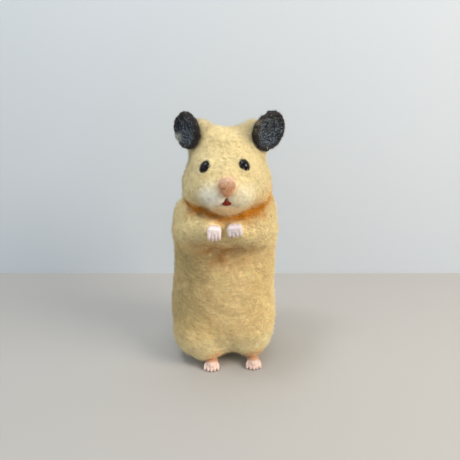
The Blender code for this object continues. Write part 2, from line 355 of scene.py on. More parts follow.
def melted(name: str, form: Form, voxel: float, rounds: int) -> Thing:
    """The form's overlapping shapes worked into one closed skin.

    Args:
        name: the new object's name.
        form: the shapes, which are used up.
        voxel: how fine the skin is.
        rounds: how often it is smoothed.

    Returns:
        The object.
    """
    rough = placed(name, mesh_of(name, form))
    remesh = rough.modifiers.new("Remesh", "REMESH")
    remesh.mode = "VOXEL"
    remesh.voxel_size = voxel * MM
    remesh.adaptivity = 0.0
    smooth = rough.modifiers.new("Smooth", "SMOOTH")
    smooth.factor = 0.5
    smooth.iterations = rounds
    bpy.context.view_layer.update()
    graph = bpy.context.evaluated_depsgraph_get()
    mesh = bpy.data.meshes.new_from_object(rough.evaluated_get(graph))
    bpy.data.objects.remove(rough)
    mesh.name = name
    drop_crumbs(mesh)
    mesh.shade_smooth()
    return placed(name, mesh)


def drop_crumbs(mesh: Mesh) -> None:
    """Keeps only the largest connected shell of a mesh.

    Args:
        mesh: the mesh.
    """
    form = bmesh.new()
    form.from_mesh(mesh)
    left = set(form.verts)
    shells = []
    while left:
        front = [left.pop()]
        shell = list(front)
        while front:
            for edge in front.pop().link_edges:
                for vert in edge.verts:
                    if vert in left:
                        left.remove(vert)
                        front.append(vert)
                        shell.append(vert)
        shells.append(shell)
    shells.sort(key=len)
    bmesh.ops.delete(form, geom=[vert for shell in shells[:-1] for vert in shell], context="VERTS")
    form.to_mesh(mesh)
    form.free()


def unwrap(obj: Thing) -> None:
    """Unwraps an object's own shape into flat patches that don't overlap.

    Args:
        obj: the object.
    """
    obj.data.uv_layers.new(name=BAKE_MAP)
    bpy.ops.object.select_all(action="DESELECT")
    bpy.context.view_layer.objects.active = obj
    obj.select_set(True)
    bpy.ops.object.mode_set(mode="EDIT")
    bpy.ops.mesh.select_all(action="SELECT")
    bpy.ops.uv.smart_project(angle_limit=math.radians(72), island_margin=0.004)
    bpy.ops.object.mode_set(mode="OBJECT")
    obj.select_set(False)


def finished(obj: Thing, finish: Material, slot: Slot, *nodes: str) -> None:
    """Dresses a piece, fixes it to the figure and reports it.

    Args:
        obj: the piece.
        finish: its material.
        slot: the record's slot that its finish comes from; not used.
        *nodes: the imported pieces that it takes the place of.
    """
    obj.data.materials.clear()
    obj.data.materials.append(finish)
    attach(obj, "root")
    if nodes:
        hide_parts(*nodes)
    log.info("%s: %d faces", obj.name, len(obj.data.polygons))


def relaxed(mesh: Mesh, points: Rows, share: Rows, rounds: int) -> Rows:
    """Evens a form by drawing each point towards its neighbours.

    Args:
        mesh: the mesh, for its edges.
        points: the points.
        share: how far each point takes part, from 0 to 1.
        rounds: how often it is done.

    Returns:
        The points' new places.
    """
    pairs = gathered(mesh.edges, "vertices", 2, np.int32)
    near, far = np.concatenate((pairs, pairs[:, ::-1])).T
    degree = np.bincount(near, minlength=len(points))[:, None]
    for _ in range(rounds):
        sums = [np.bincount(near, points[far, axis], len(points)) for axis in range(3)]
        points = points + 0.5 * share[:, None] * (np.stack(sums, axis=1) / degree - points)
    return points


def turned(points: Rows, angle: float, axis: str, pivot: Place) -> Rows:
    """The points turned about a line through a pivot, by an angle in degrees."""
    spin = np.array(Matrix.Rotation(math.radians(angle), 3, axis))
    return (points - pivot) @ spin.T + pivot


def tree_of(node: str) -> BVHTree:
    """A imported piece's shape in millimetres, to measure distances from.

    Args:
        node: the piece's name.

    Returns:
        The shape.
    """
    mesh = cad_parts[node].data
    mesh.calc_loop_triangles()
    faces = [tuple(triangle.vertices) for triangle in mesh.loop_triangles]
    return BVHTree.FromPolygons(points_of(mesh).tolist(), faces)


# ---- finishes


class Nodes:
    """A material's node tree, with short ways to add to it."""

    def __init__(self, name: str) -> None:
        """Makes the material.

        Args:
            name: its name.
        """
        self.material = bpy.data.materials.new(name)
        self.material.use_nodes = True
        self.tree = self.material.node_tree
        self.shader = self.tree.nodes["Principled BSDF"]

    def fill(self, node: bpy.types.Node, inputs: Inputs) -> None:
        """Gives a node's inputs their values, or links them to other nodes' outputs.

        Args:
            node: the node.
            inputs: what they get.
        """
        for key, value in inputs.items():
            if isinstance(value, Socket):
                self.tree.links.new(value, node.inputs[key])
            else:
                node.inputs[key].default_value = value

    def add(self, kind: str, output: str, inputs: Inputs, **settings: object) -> Socket:
        """Adds a node.

        Args:
            kind: Blender's name for it.
            output: the name of the output that is wanted.
            inputs: what its inputs get.
            **settings: values of the node's own properties.

        Returns:
            The wanted output.
        """
        node = self.tree.nodes.new("ShaderNode" + kind)
        for key, value in settings.items():
            setattr(node, key, value)
        self.fill(node, inputs)
        return node.outputs[output]

    def places(self, stretch: Place = (1, 1, 1)) -> Socket:
        """The place in millimetres, times how often a texture repeats along each axis."""
        where, scale = self.add("TexCoord", "Object", {}), [axis / MM for axis in stretch]
        return self.add("Mapping", "Vector", {"Scale": scale, "Vector": where})

    def noise(self, place: Socket, scale: float, detail: float, warp: float = 0.0) -> Socket:
        """A cloudy texture.

        Args:
            place: the place.
            scale: clouds to a millimetre.
            detail: how many finer layers it has.
            warp: how much it swirls.

        Returns:
            Its value.
        """
        return self.add("TexNoise", "Fac", {
            "Scale": scale, "Detail": detail, "Roughness": 0.6, "Distortion": warp,
            "Vector": place,
        })

    def span(self, value: Socket, low: float, high: float) -> Socket:
        """A cloudy value, which mostly stays near its middle, spread from low to high."""
        ends = {"From Min": 0.3, "From Max": 0.7, "To Min": low, "To Max": high}
        return self.add("MapRange", "Result", {**ends, "Value": value}, clamp=True)

    def times(self, colour: Socket, value: Socket) -> Socket:
        """A colour made lighter or darker by a value."""
        inputs = {0: colour, "Scale": value}
        return self.add("VectorMath", "Vector", inputs, operation="SCALE")

    def painted(self) -> Socket:
        """The colour that is stored at the mesh's points."""
        return self.add("Attribute", "Color", {}, attribute_name=COLOUR)

    def bump(self, height: Socket, depth: float, strength: float = 1.0) -> None:
        """Gives the surface a fine relief, with its depth in millimetres."""
        inputs = {"Distance": depth * MM, "Strength": strength, "Height": height}
        self.fill(self.shader, {"Normal": self.add("Bump", "Normal", inputs)})


@dataclass(frozen=True)
class Finish:
    """What every finish has: a name, and a node tree that its own kind fills."""

    name: str

    def make(self) -> Material:
        """Makes the material.

        Returns:
            The material.
        """
        nodes = Nodes(self.name)
        nodes.fill(nodes.shader, self.inputs(nodes))
        return nodes.material

    def inputs(self, nodes: Nodes) -> Inputs:
        """What the shader's inputs get; each kind of finish has its own."""
        raise NotImplementedError


@dataclass(frozen=True)
class Felt(Finish):
    """Needled wool: the stored colour, clouded and with a fine tangle of fibres."""

    mottle: tuple[float, float] = (0.9, 1.08)
    grain: tuple[float, float] = (0.88, 1.1)
    relief: float = 0.06
    sheen: float = 0.25

    def inputs(self, nodes: Nodes) -> Inputs:
        """What the shader's inputs get.

        Args:
            nodes: the material's nodes.

        Returns:
            The inputs.
        """
        cloud = nodes.noise(nodes.places(), 1.2, 3.0, 0.3)
        strands = nodes.noise(nodes.places((0.7, 0.7, 2.4)), 2.2, 4.0, 0.5)
        across = nodes.noise(nodes.places((2.0, 2.0, 0.8)), 2.3, 4.0, 0.5)
        colour = nodes.times(nodes.painted(), nodes.span(cloud, *self.mottle))
        colour = nodes.times(colour, nodes.span(strands, *self.grain))
        tangle = nodes.add("Math", "Value", {0: strands, 1: across}, operation="ADD")
        nodes.bump(tangle, self.relief)
        return {
            "Base Color": colour, "Roughness": 0.95, "Specular IOR Level": 0.15,
            "Sheen Weight": self.sheen, "Sheen Roughness": 0.5,
        }


@dataclass(frozen=True)
class Fibre(Finish):
    """Loose wool strands: the stored colour with faint bands along each strand."""

    sheen: float = 0.07

    def inputs(self, nodes: Nodes) -> Inputs:
        """What the shader's inputs get.

        Args:
            nodes: the material's nodes.

        Returns:
            The inputs.
        """
        bands = nodes.noise(nodes.places(), 1.4, 2.0, 0.3)
        return {
            "Base Color": nodes.times(nodes.painted(), nodes.span(bands, 0.92, 1.08)),
            "Roughness": 0.95, "Specular IOR Level": 0.06,
            "Sheen Weight": self.sheen, "Sheen Roughness": 0.4,
        }


@dataclass(frozen=True)
class Bead(Finish):
    """Polished brown-black glass."""

    def inputs(self, nodes: Nodes) -> Inputs:
        """What the shader's inputs get.

        Args:
            nodes: the material's nodes.

        Returns:
            The inputs.
        """
        depth = nodes.noise(nodes.places(), 0.5, 2.0)
        black = nodes.add("RGB", "Color", {})
        black.default_value = (*Dye.GLASS.light, 1.0)
        return {
            "Base Color": nodes.times(black, nodes.span(depth, 0.7, 1.5)),
            "Roughness": 0.1, "IOR": 1.45, "Specular IOR Level": 0.32,
        }


@dataclass(frozen=True)
class Clay(Finish):
    """Fired modelling clay with a soft satin face, tinted where the stored colour says."""

    def inputs(self, nodes: Nodes) -> Inputs:
        """What the shader's inputs get.

        Args:
            nodes: the material's nodes.

        Returns:
            The inputs.
        """
        place = nodes.places()
        cloud = nodes.noise(place, 0.5, 3.0, 0.4)
        nodes.bump(nodes.noise(place, 2.6, 4.0), 0.05, 0.5)
        return {
            "Base Color": nodes.times(nodes.painted(), nodes.span(cloud, 0.95, 1.04)),
            "Roughness": nodes.span(nodes.noise(place, 1.2, 2.0), 0.42, 0.6),
            "Specular IOR Level": 0.45, "Subsurface Weight": 0.15, "Subsurface Scale": 0.0012,
        }


@dataclass(frozen=True)
class Matt(Finish):
    """A plain matt board, which shows from its front alone where it is one-sided."""

    dye: Dye
    one_sided: bool = False

    def inputs(self, nodes: Nodes) -> Inputs:
        """What the shader's inputs get.

        Args:
            nodes: the material's nodes.

        Returns:
            The inputs.
        """
        if self.one_sided:
            behind = nodes.add("NewGeometry", "Backfacing", {})
            clear = nodes.add("BsdfTransparent", "BSDF", {})
            front = nodes.shader.outputs["BSDF"]
            shown = nodes.add("MixShader", "Shader", {0: behind, 1: front, 2: clear})
            nodes.fill(nodes.tree.nodes["Material Output"], {"Surface": shown})
        return {"Base Color": (*self.dye.light, 1.0), "Roughness": 0.7}


# ---- the face's landmarks


@dataclass(frozen=True)
class Ellipsoid:
    """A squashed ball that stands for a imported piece."""

    middle: Rows
    axes: Rows
    halves: Rows

    @classmethod
    def of(cls, node: str) -> "Ellipsoid":
        """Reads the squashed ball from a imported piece.

        Args:
            node: the piece's name.

        Returns:
            The ball, with its axes in rows from the shortest to the longest.
        """
        points = np.unique(np.round(points_of(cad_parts[node].data), 3), axis=0)
        middle = (points.max(0) + points.min(0)) / 2
        axes = np.linalg.eigh(np.cov((points - middle).T))[1].T
        halves = np.abs((points - middle) @ axes.T).max(0)
        order = np.argsort(halves)
        return cls(middle, axes[order], halves[order])

    def local(self, points: Rows) -> Rows:
        """The points along the ball's axes, where its surface is 1 from its middle."""
        return (points - self.middle) @ self.axes.T / self.halves

    def reach(self, points: Rows) -> Rows:
        """How far out each point is: 1 on the ball's surface."""
        return np.linalg.norm(self.local(points), axis=1)


class Face:
    """Where the face's parts are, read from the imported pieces."""

    def __init__(self) -> None:
        """Reads the pieces."""
        self.eyes = {side: Ellipsoid.of(side.node("eye")) for side in Side}
        self.nose_low, self.nose_high = box_of("nose")
        self.mouth_low, self.mouth_high = box_of("mouth")
        self.mid = (self.mouth_low[0] + self.mouth_high[0]) / 2
        self.lip = self.mouth_low[1]
        self.front = self.lip + 5.0  # how far back a line on the muzzle's front may lie
        base, top = self.mouth_low[2], self.mouth_high[2]
        self.pads = self.pair(5.4, 3.0, top + 0.9)
        self.folds = self.pair(7.0, 9.4, base - 7.2)
        self.mounds = self.pair(11.5, 28.3, top + 18.2)
        mid = self.mid
        self.muzzle = (mid, self.lip + 6.0, top + 1.0)
        self.lips = (mid, self.lip, top + 1.2)
        self.philtrum = ((mid + 0.1, self.nose_low[2] + 0.6), (mid, top - 0.6))
        self.split = (
            (mid - 4.4, base - 0.3), (mid - 2.0, base + 0.5), (mid, base + 0.7),
            (mid + 2.0, base + 0.5), (mid + 4.6, base - 0.5),
        )

    def pair(self, aside: float, back: float, height: float) -> list[Place]:
        """Two places, one on each side of the face and both back from the lip."""
        return [(self.mid + side.value * aside, self.lip + back, height) for side in Side]

    def off_line(self, points: Rows, line: tuple[tuple[float, float], ...]) -> Rows:
        """How far each point is from a line drawn on the front of the muzzle.

        Args:
            points: the points.
            line: the line's stops, each across and up.

        Returns:
            One distance for each point, large for points behind the muzzle's front.
        """
        flat = points[:, ::2]
        nearest = np.full(len(points), np.inf)
        for start, end in zip(np.array(line[:-1]), np.array(line[1:])):
            way = end - start
            share = np.clip((flat - start) @ way / (way @ way), 0, 1)
            nearest = np.minimum(nearest, off(flat, start + share[:, None] * way, (1.0, 1.0)))
        return nearest + np.maximum(points[:, 1] - self.front, 0.0)

    def off_philtrum(self, points: Rows) -> Rows:
        """How far each point is from the groove between the nose and the mouth."""
        return self.off_line(points, self.philtrum)

    def off_lips(self, points: Rows) -> Rows:
        """How far each point is from the line of the closed mouth, under the split lip."""
        return self.off_line(points, self.split)

    def off_mouth(self, points: Rows) -> Rows:
        """How far each point is outside the box round the mouth, as seen from the front.

        Args:
            points: the points.

        Returns:
            One distance for each point, below 0 inside the box.
        """
        aside = np.abs(points[:, 0] - self.mid) - (self.mouth_high[0] - self.mouth_low[0]) / 2
        above = points[:, 2] - self.mouth_high[2]
        below = self.mouth_low[2] - points[:, 2]
        return np.max((aside, above, below, points[:, 1] - self.front), axis=0)


# ---- wool colours


@dataclass(frozen=True)
class Spot:
    """A round patch of one colour."""

    dye: Dye
    middle: Place
    halves: Place
    fade: tuple[float, float]  # where it begins and where it is full, in half sizes
    share: float

    def over(self, under: Rows, points: Rows) -> Rows:
        """The colours at the points, with the patch laid over them."""
        near = off(points, self.middle, self.halves)
        return self.dye.over(under, self.share * eased(near, *self.fade))


@dataclass
class Markings:
    """The wool's colours by place, the same for the skin and the loose fibres."""

    face: Face
    streak: float = 0.08  # how much lighter and darker the needled streaks are
    stretch: float = 7.0  # how much longer than high they are
    crease: float = 3.4  # how far from the head the amber under it reaches

    def __post_init__(self) -> None:
        """Reads the head's shape and places the round patches."""
        self.crown = tree_of("head")
        self.jowl = box_of("head")[0]
        face, mid, lip = self.face, self.face.mid, self.face.lip
        # the middle of the painted shade under the arms
        self.pit = (mid - 2.0, lip + 6.0, 63.5)
        nose = (mid + 0.2, face.nose_low[1] + 3.0, face.nose_high[2] - 3.4)
        chin = (mid, lip + 1.0, face.mouth_low[2] - 2.6)
        # painted light and shade: the pad on the figure's right gets the bluer white of the cool
        # shade, the one on its left the yellower white of the warm key lamp
        self.front = [
            Spot(white, (across, back, height - 0.6), (5.6, 7.4, 4.4), (1.7, 0.2), 0.82)
            for white, (across, back, height) in zip((Dye.MUZZLE, Dye.CREAM), face.pads)
        ]
        self.front.append(Spot(Dye.PEACH, nose, (1.0, 1.3, 1.15), (5.2, 3.0), 0.6))
        # the chin patch: partly its own peach tone, partly painted shade under the muzzle
        self.front.append(Spot(Dye.CHIN, chin, (7.0, 5.0, 2.8), (1.35, 0.6), 0.85))
        self.ends = []
        for side in Side:
            low, high = box_of(side.node("ear"))
            base = (low[0] if side is Side.LEFT else high[0], high[1] - 3.0, low[2] + 6.0)
            self.ends.append(Spot(Dye.SMOKE, base, (1.0, 1.0, 1.0), (9.0, 5.0), 0.5))
            low, high = box_of(side.node("foot"))
            ankle = ((low[0] + high[0]) / 2, high[1] - 4.0, high[2])
            self.ends.append(Spot(Dye.ANKLE, ankle, (1.0, 1.0, 1.0), (6.5, 4.0), 0.7))

    def jaw(self, points: Rows) -> Rows:
        """How high each point is over the crease between head and neck."""
        return points[:, 2] - (self.jowl[2] + 0.1 + 0.2 * (points[:, 1] - self.jowl[1] - 6.0))

    def at(self, points: Rows) -> Rows:
        """The wool's colour at each point, laid on from the belly up to the eyes' rims.

        Args:
            points: the points.

        Returns:
            The colours.
        """
        across, height = points[:, 0], points[:, 2]
        rise, mid = self.jaw(points), self.face.mid
        colour = Dye.FLANK.over(Dye.BELLY.light, 0.5 + 0.5 * Waves(26, 3).at(points))
        # painted shade: the figure's right flank below the arms is laid darker, away from the key
        # lamp
        shady = eased(across, -4, -20) * eased(rise, -20, -28) * eased(rise, -80, -60)
        colour = Dye.DUSK.over(colour, 0.7 * shady)
        colour = Dye.HEM.over(colour, 0.8 * eased(height, 24, 10))
        colour = Dye.ARM.over(colour, eased(rise, -22, -10))
        streaks = self.streak * self.streaks(points) * eased(rise, -2, -8)
        colour = Dye.HEAD.over(colour * (1.02 + streaks)[:, None], eased(rise, -3, 3))
        # painted shade: a patchy brown patch under the arms, where their overhang shades the belly
        pit = off(points, self.pit, (17.0, 13.0, 9.5))
        patchy = 0.7 + 0.3 * Waves(6, 5).at(points)
        colour = Dye.RUSSET.over(colour, 0.8 * patchy * eased(pit, 1.4, 0.4))
        warm = eased(rise, 11.0, 0.5) * eased(across, mid + 2.0, mid + 13.0)
        colour = Dye.APRICOT.over(colour, 0.5 * warm * eased(rise, -2.5, 0.0))
        for spot in self.front:
            colour = spot.over(colour, points)
        colour = Dye.AMBER.over(colour, self.throat(points))
        for spot in self.ends:
            colour = spot.over(colour, points)
        # partly brown fibres, partly painted shade: a dark ring where the wool meets each bead
        for eye in self.face.eyes.values():
            colour = Dye.LID.over(colour, 0.75 * bell(eye.reach(points) - 0.98, 0.14))
        return colour

    def streaks(self, points: Rows) -> Rows:
        """The long level streaks that needling leaves, which sink to the right flank.

        Args:
            points: the points.

        Returns:
            One value for each point, about 1 either way.
        """
        swept = points * (1.0, 1.0, self.stretch)
        swept[:, 2] += 2.0 * np.minimum(points[:, 0] + 4.0, 0.0)
        return 0.6 * Waves(9, 6).at(swept) + 0.4 * Waves(5, 7).at(swept)

    def throat(self, points: Rows) -> Rows:
        """How deep each point lies in the crease under the head.

        Args:
            points: the points.

        Returns:
            A share from 0 to 1 for each point.
        """
        across, back = points[:, 0], points[:, 1]
        rise = self.jaw(points)
        gaps = np.full(len(points), np.inf)
        for i in np.flatnonzero((rise < 3.0) & (rise > -12)):
            gaps[i] = self.crown.find_nearest(points[i])[3]
        lift = 1.6 * eased(across, 3, 11) + 1.5 * eased(across, -1, -5)
        reach = self.crease * (0.95 + 0.4 * eased(across, -4, 12))
        crease = bell(gaps, reach) * eased(rise - lift, 1.2, -0.9) * eased(back, 6, -7)
        chest = eased(rise, -13, -7) * eased(rise, 0.5, -1.0) * eased(back, -23, -19)
        chest *= eased(np.abs(across - self.face.mid), 12, 7) * eased(back, 0, -6)
        patchy = 0.88 + 0.12 * Waves(6, 4).at(points)
        return np.clip(1.15 * np.maximum(crease, chest) * patchy, 0, 1)


# ---- strands


@dataclass
class Surface:
    """A finished mesh that strands grow on."""

    obj: Thing

    def __post_init__(self) -> None:
        """Reads the mesh's triangles and unwrap."""
        mesh = self.obj.data
        self.points = points_of(mesh)
        self.normals = normals_of(mesh)
        mesh.calc_loop_triangles()
        self.corners = gathered(mesh.loop_triangles, "vertices", 3, np.int32)
        loops = gathered(mesh.loop_triangles, "loops", 3, np.int32)
        self.unwrapped = gathered(mesh.uv_layers[BAKE_MAP].data, "uv", 2)[loops]
        spots = self.points[self.corners]
        sides = np.cross(spots[:, 1] - spots[:, 0], spots[:, 2] - spots[:, 0])
        self.areas = np.linalg.norm(sides, axis=1) / 2
        self.centres = spots.mean(1)
        self.tree = BVHTree.FromPolygons(self.points.tolist(), self.corners.tolist())

    def scatter(
        self, draw: np.random.Generator, count: int, density: Mask
    ) -> tuple[Rows, Rows, Rows]:
        """Picks random places on the mesh.

        Args:
            draw: the source of chance.
            count: how many.
            density: how thickly they lie at each point, from 0 to 1.

        Returns:
            The places, the outward ways there and the places on the unwrap.
        """
        weight = self.areas * density(self.centres)
        picks = draw.choice(len(weight), count, p=weight / weight.sum())
        share = draw.dirichlet((1, 1, 1), count)
        corners = self.corners[picks]
        spots = np.einsum("ij,ijk->ik", share, self.points[corners])
        ways = unit(np.einsum("ij,ijk->ik", share, self.normals[corners]))
        flat = np.einsum("ij,ijk->ik", share, self.unwrapped[picks])
        return spots, ways, flat

    def snap(self, points: Rows) -> tuple[Rows, Rows]:
        """Moves points onto the mesh.

        Args:
            points: the points.

        Returns:
            The nearest places on the mesh and the outward ways there.
        """
        spots = np.empty_like(points)
        faces = np.empty(len(points), np.int64)
        for i, point in enumerate(points.tolist()):
            spots[i], _, faces[i], _ = self.tree.find_nearest(point)
        return spots, unit(self.normals[self.corners[faces]].mean(1))


@dataclass(frozen=True)
class Lay:
    """One kind of strand and how it lies. Lengths are millimetres, angles are radians."""

    count: int
    length: tuple[float, float]  # the shortest and the longest
    width: float
    thickness: float
    links: int  # how many straight stretches each strand has
    rise: float  # how high it arches over the wool
    tip: float  # how high its tip stands
    stray: float  # how far it strays from its heading
    curl: float  # how far it bends along its length
    contrast: float  # how much lighter or darker than the wool it is
    seed: int


@dataclass
class Fleece:
    """Loose strands of wool of one kind, grown over a surface as solid slivers."""

    name: str  # the pieces' name, to which a number is added
    surface: Surface
    lay: Lay
    heading: Heading
    tint: Tint
    density: Mask = everywhere  # how thickly the strands lie, from 0 to 1
    keep: Mask = everywhere  # true where a strand may pass
    warmth: float = 0.04  # how much redder or bluer than the wool a strand is
    tones: tuple[float, float] = (0.45, 1.6)  # the darkest and the lightest that one may be
    heights: tuple[float, float] = (0.5, 1.3)  # the least and the most of its kind's rise
    sunk: float = 0.12  # how deep its root lies in the wool
    floor: float = 0.03  # how low it may reach

    def grow(self, finish: Material, slot: Slot) -> None:
        """Grows the strands and makes them into pieces.

        Args:
            finish: their material.
            slot: the record's slot that their finish comes from.
        """
        lay = self.lay
        draw = np.random.default_rng(lay.seed)
        count = lay.count // 1
        roots, ways, flat = self.surface.scatter(draw, count, self.density)
        path, out = self.paths(draw, roots, ways)
        fine = self.keep(path.reshape(-1, 3)).reshape(path.shape[:2]).all(1)
        path, out, flat, roots = path[fine], out[fine], flat[fine], roots[fine]
        tone = 1 + lay.contrast * draw.normal(size=(len(roots), 1))
        warmth = 1 + self.warmth * draw.normal(size=(len(roots), 1)) * np.array((1, 0.2, -1.4))
        colours = self.tint(roots) * np.clip(tone, *self.tones) * warmth
        each = 6 * (lay.links - 1)
        share = math.ceil(len(path) * each / PIECE_TRIANGLES)
        for number, chosen in enumerate(np.array_split(np.arange(len(path)), share), 1):
            parts = (path[chosen], out[chosen], flat[chosen], colours[chosen])
            finished(self.solid(f"{self.name}_{number}", *parts), finish, slot)

    def paths(self, draw: np.random.Generator, roots: Rows, ways: Rows) -> tuple[Rows, Rows]:
        """Leads each strand over the surface.

        Args:
            draw: the source of chance.
            roots: where they start.
            ways: the outward ways there.

        Returns:
            Each strand's stops and the outward ways at them.
        """
        lay = self.lay
        count = len(roots)
        level = unit(np.cross((0, 0, 1), ways) + (1e-3, 0, 0))
        upright = np.cross(ways, level)
        angle = self.heading(roots, ways) + lay.stray * draw.normal(size=count)
        going = np.cos(angle)[:, None] * level + np.sin(angle)[:, None] * upright
        step = (draw.uniform(*lay.length, count) / lay.links)[:, None]
        bend = lay.curl * draw.normal(size=(count, 1)) / lay.links
        height = draw.uniform(*self.heights, (count, 1))
        spot, out = roots, ways
        stops, outs = [], []
        for link in range(lay.links + 1):
            share = link / lay.links
            arch = lay.rise * math.sin(math.pi * min(1.0, share * 1.15)) + lay.tip * share**2
            stops.append(spot + out * (arch * height - self.sunk))
            outs.append(out)
            if link == lay.links:
                break
            spot, out = self.surface.snap(spot + going * step)
            going = unit(going - (going * out).sum(1, keepdims=True) * out)
            going = unit(going + bend * np.cross(out, going))
        return np.stack(stops, 1), np.stack(outs, 1)

    def solid(self, name: str, path: Rows, out: Rows, flat: Rows, colours: Rows) -> Thing:
        """Makes strands into slivers with a flat underside, pointed at both ends.

        Args:
            name: the object's name.
            path: each strand's stops.
            out: the outward ways at them.
            flat: each root's place on the unwrap.
            colours: each strand's colour.

        Returns:
            The object.
        """
        count, stops = path.shape[:2]
        aside = unit(np.cross(out, unit(np.gradient(path, axis=1))))
        profile = np.sin(np.pi * np.linspace(0, 1, stops) ** 0.8) ** 0.7  # fullest near the root
        girth = profile[None, 1:-1, None]
        inner, up, across = path[:, 1:-1], out[:, 1:-1], aside[:, 1:-1]
        ring = np.stack((
            inner - across * girth * self.lay.width / 2,
            inner + across * girth * self.lay.width / 2,
            inner + up * girth * self.lay.thickness,
        ), axis=2).reshape(count, -1, 3)
        spots = np.concatenate((path[:, :1], ring, path[:, -1:]), axis=1)
        spots[..., 2] = np.maximum(spots[..., 2], self.floor)
        each = spots.shape[1]
        template, spread = self.template(stops)
        faces = (template[None] + each * np.arange(count)[:, None, None]).reshape(-1, 3)
        mesh = bpy.data.meshes.new(name)
        mesh.vertices.add(count * each)
        mesh.vertices.foreach_set("co", (spots * MM).astype(np.float32).ravel())
        mesh.loops.add(faces.size)
        mesh.loops.foreach_set("vertex_index", faces.astype(np.int32).ravel())
        mesh.polygons.add(len(faces))
        mesh.polygons.foreach_set("loop_start", np.arange(0, faces.size, 3, dtype=np.int32))
        mesh.update(calc_edges=True)
        mesh.shade_smooth()
        lying = np.concatenate((out[:, :1], np.repeat(up, 3, axis=1), out[:, -1:]), axis=1)
        soft = unit(SOFTNESS * lying.reshape(-1, 3) + (1 - SOFTNESS) * normals_of(mesh))
        mesh.normals_split_custom_set_from_vertices(soft)
        paint(mesh, np.repeat(colours, each, axis=0))
        mapped = (flat[:, None] + PATCH * spread[None]).reshape(-1, 2)[faces.ravel()]
        layer = mesh.uv_layers.new(name=BAKE_MAP)
        layer.data.foreach_set("uv", mapped.astype(np.float32).ravel())
        return placed(name, mesh)

    @staticmethod
    def template(stops: int) -> tuple[Rows, Rows]:
        """One sliver's triangles, and its points' places in its patch of the unwrap.

        Args:
            stops: how many stops it has.

        Returns:
            The triangles' corners, as places in the sliver's list of points, and the points'
            places from -0.5 to 0.5.
        """
        last = 3 * (stops - 2)
        faces, rows = [], [(0.0, 0.5)]
        for corner in range(3):
            after = (corner + 1) % 3
            faces.append((0, 1 + after, 1 + corner))
            for ring in range(stops - 3):
                near, far = 1 + 3 * ring, 4 + 3 * ring
                faces.append((near + corner, near + after, far + after))
                faces.append((near + corner, far + after, far + corner))
            faces.append((last - 2 + corner, last - 2 + after, last + 1))
        for ring in range(1, stops - 1):
            rows += [(ring / (stops - 1), corner / 2) for corner in range(3)]
        return np.array(faces), np.array(rows + [(1.0, 0.5)]) - 0.5


# ---- the wool body


@dataclass(frozen=True)
class Dent:
    """A shallow hollow that is pressed into the skin."""

    middle: Place
    depth: float
    reach: float


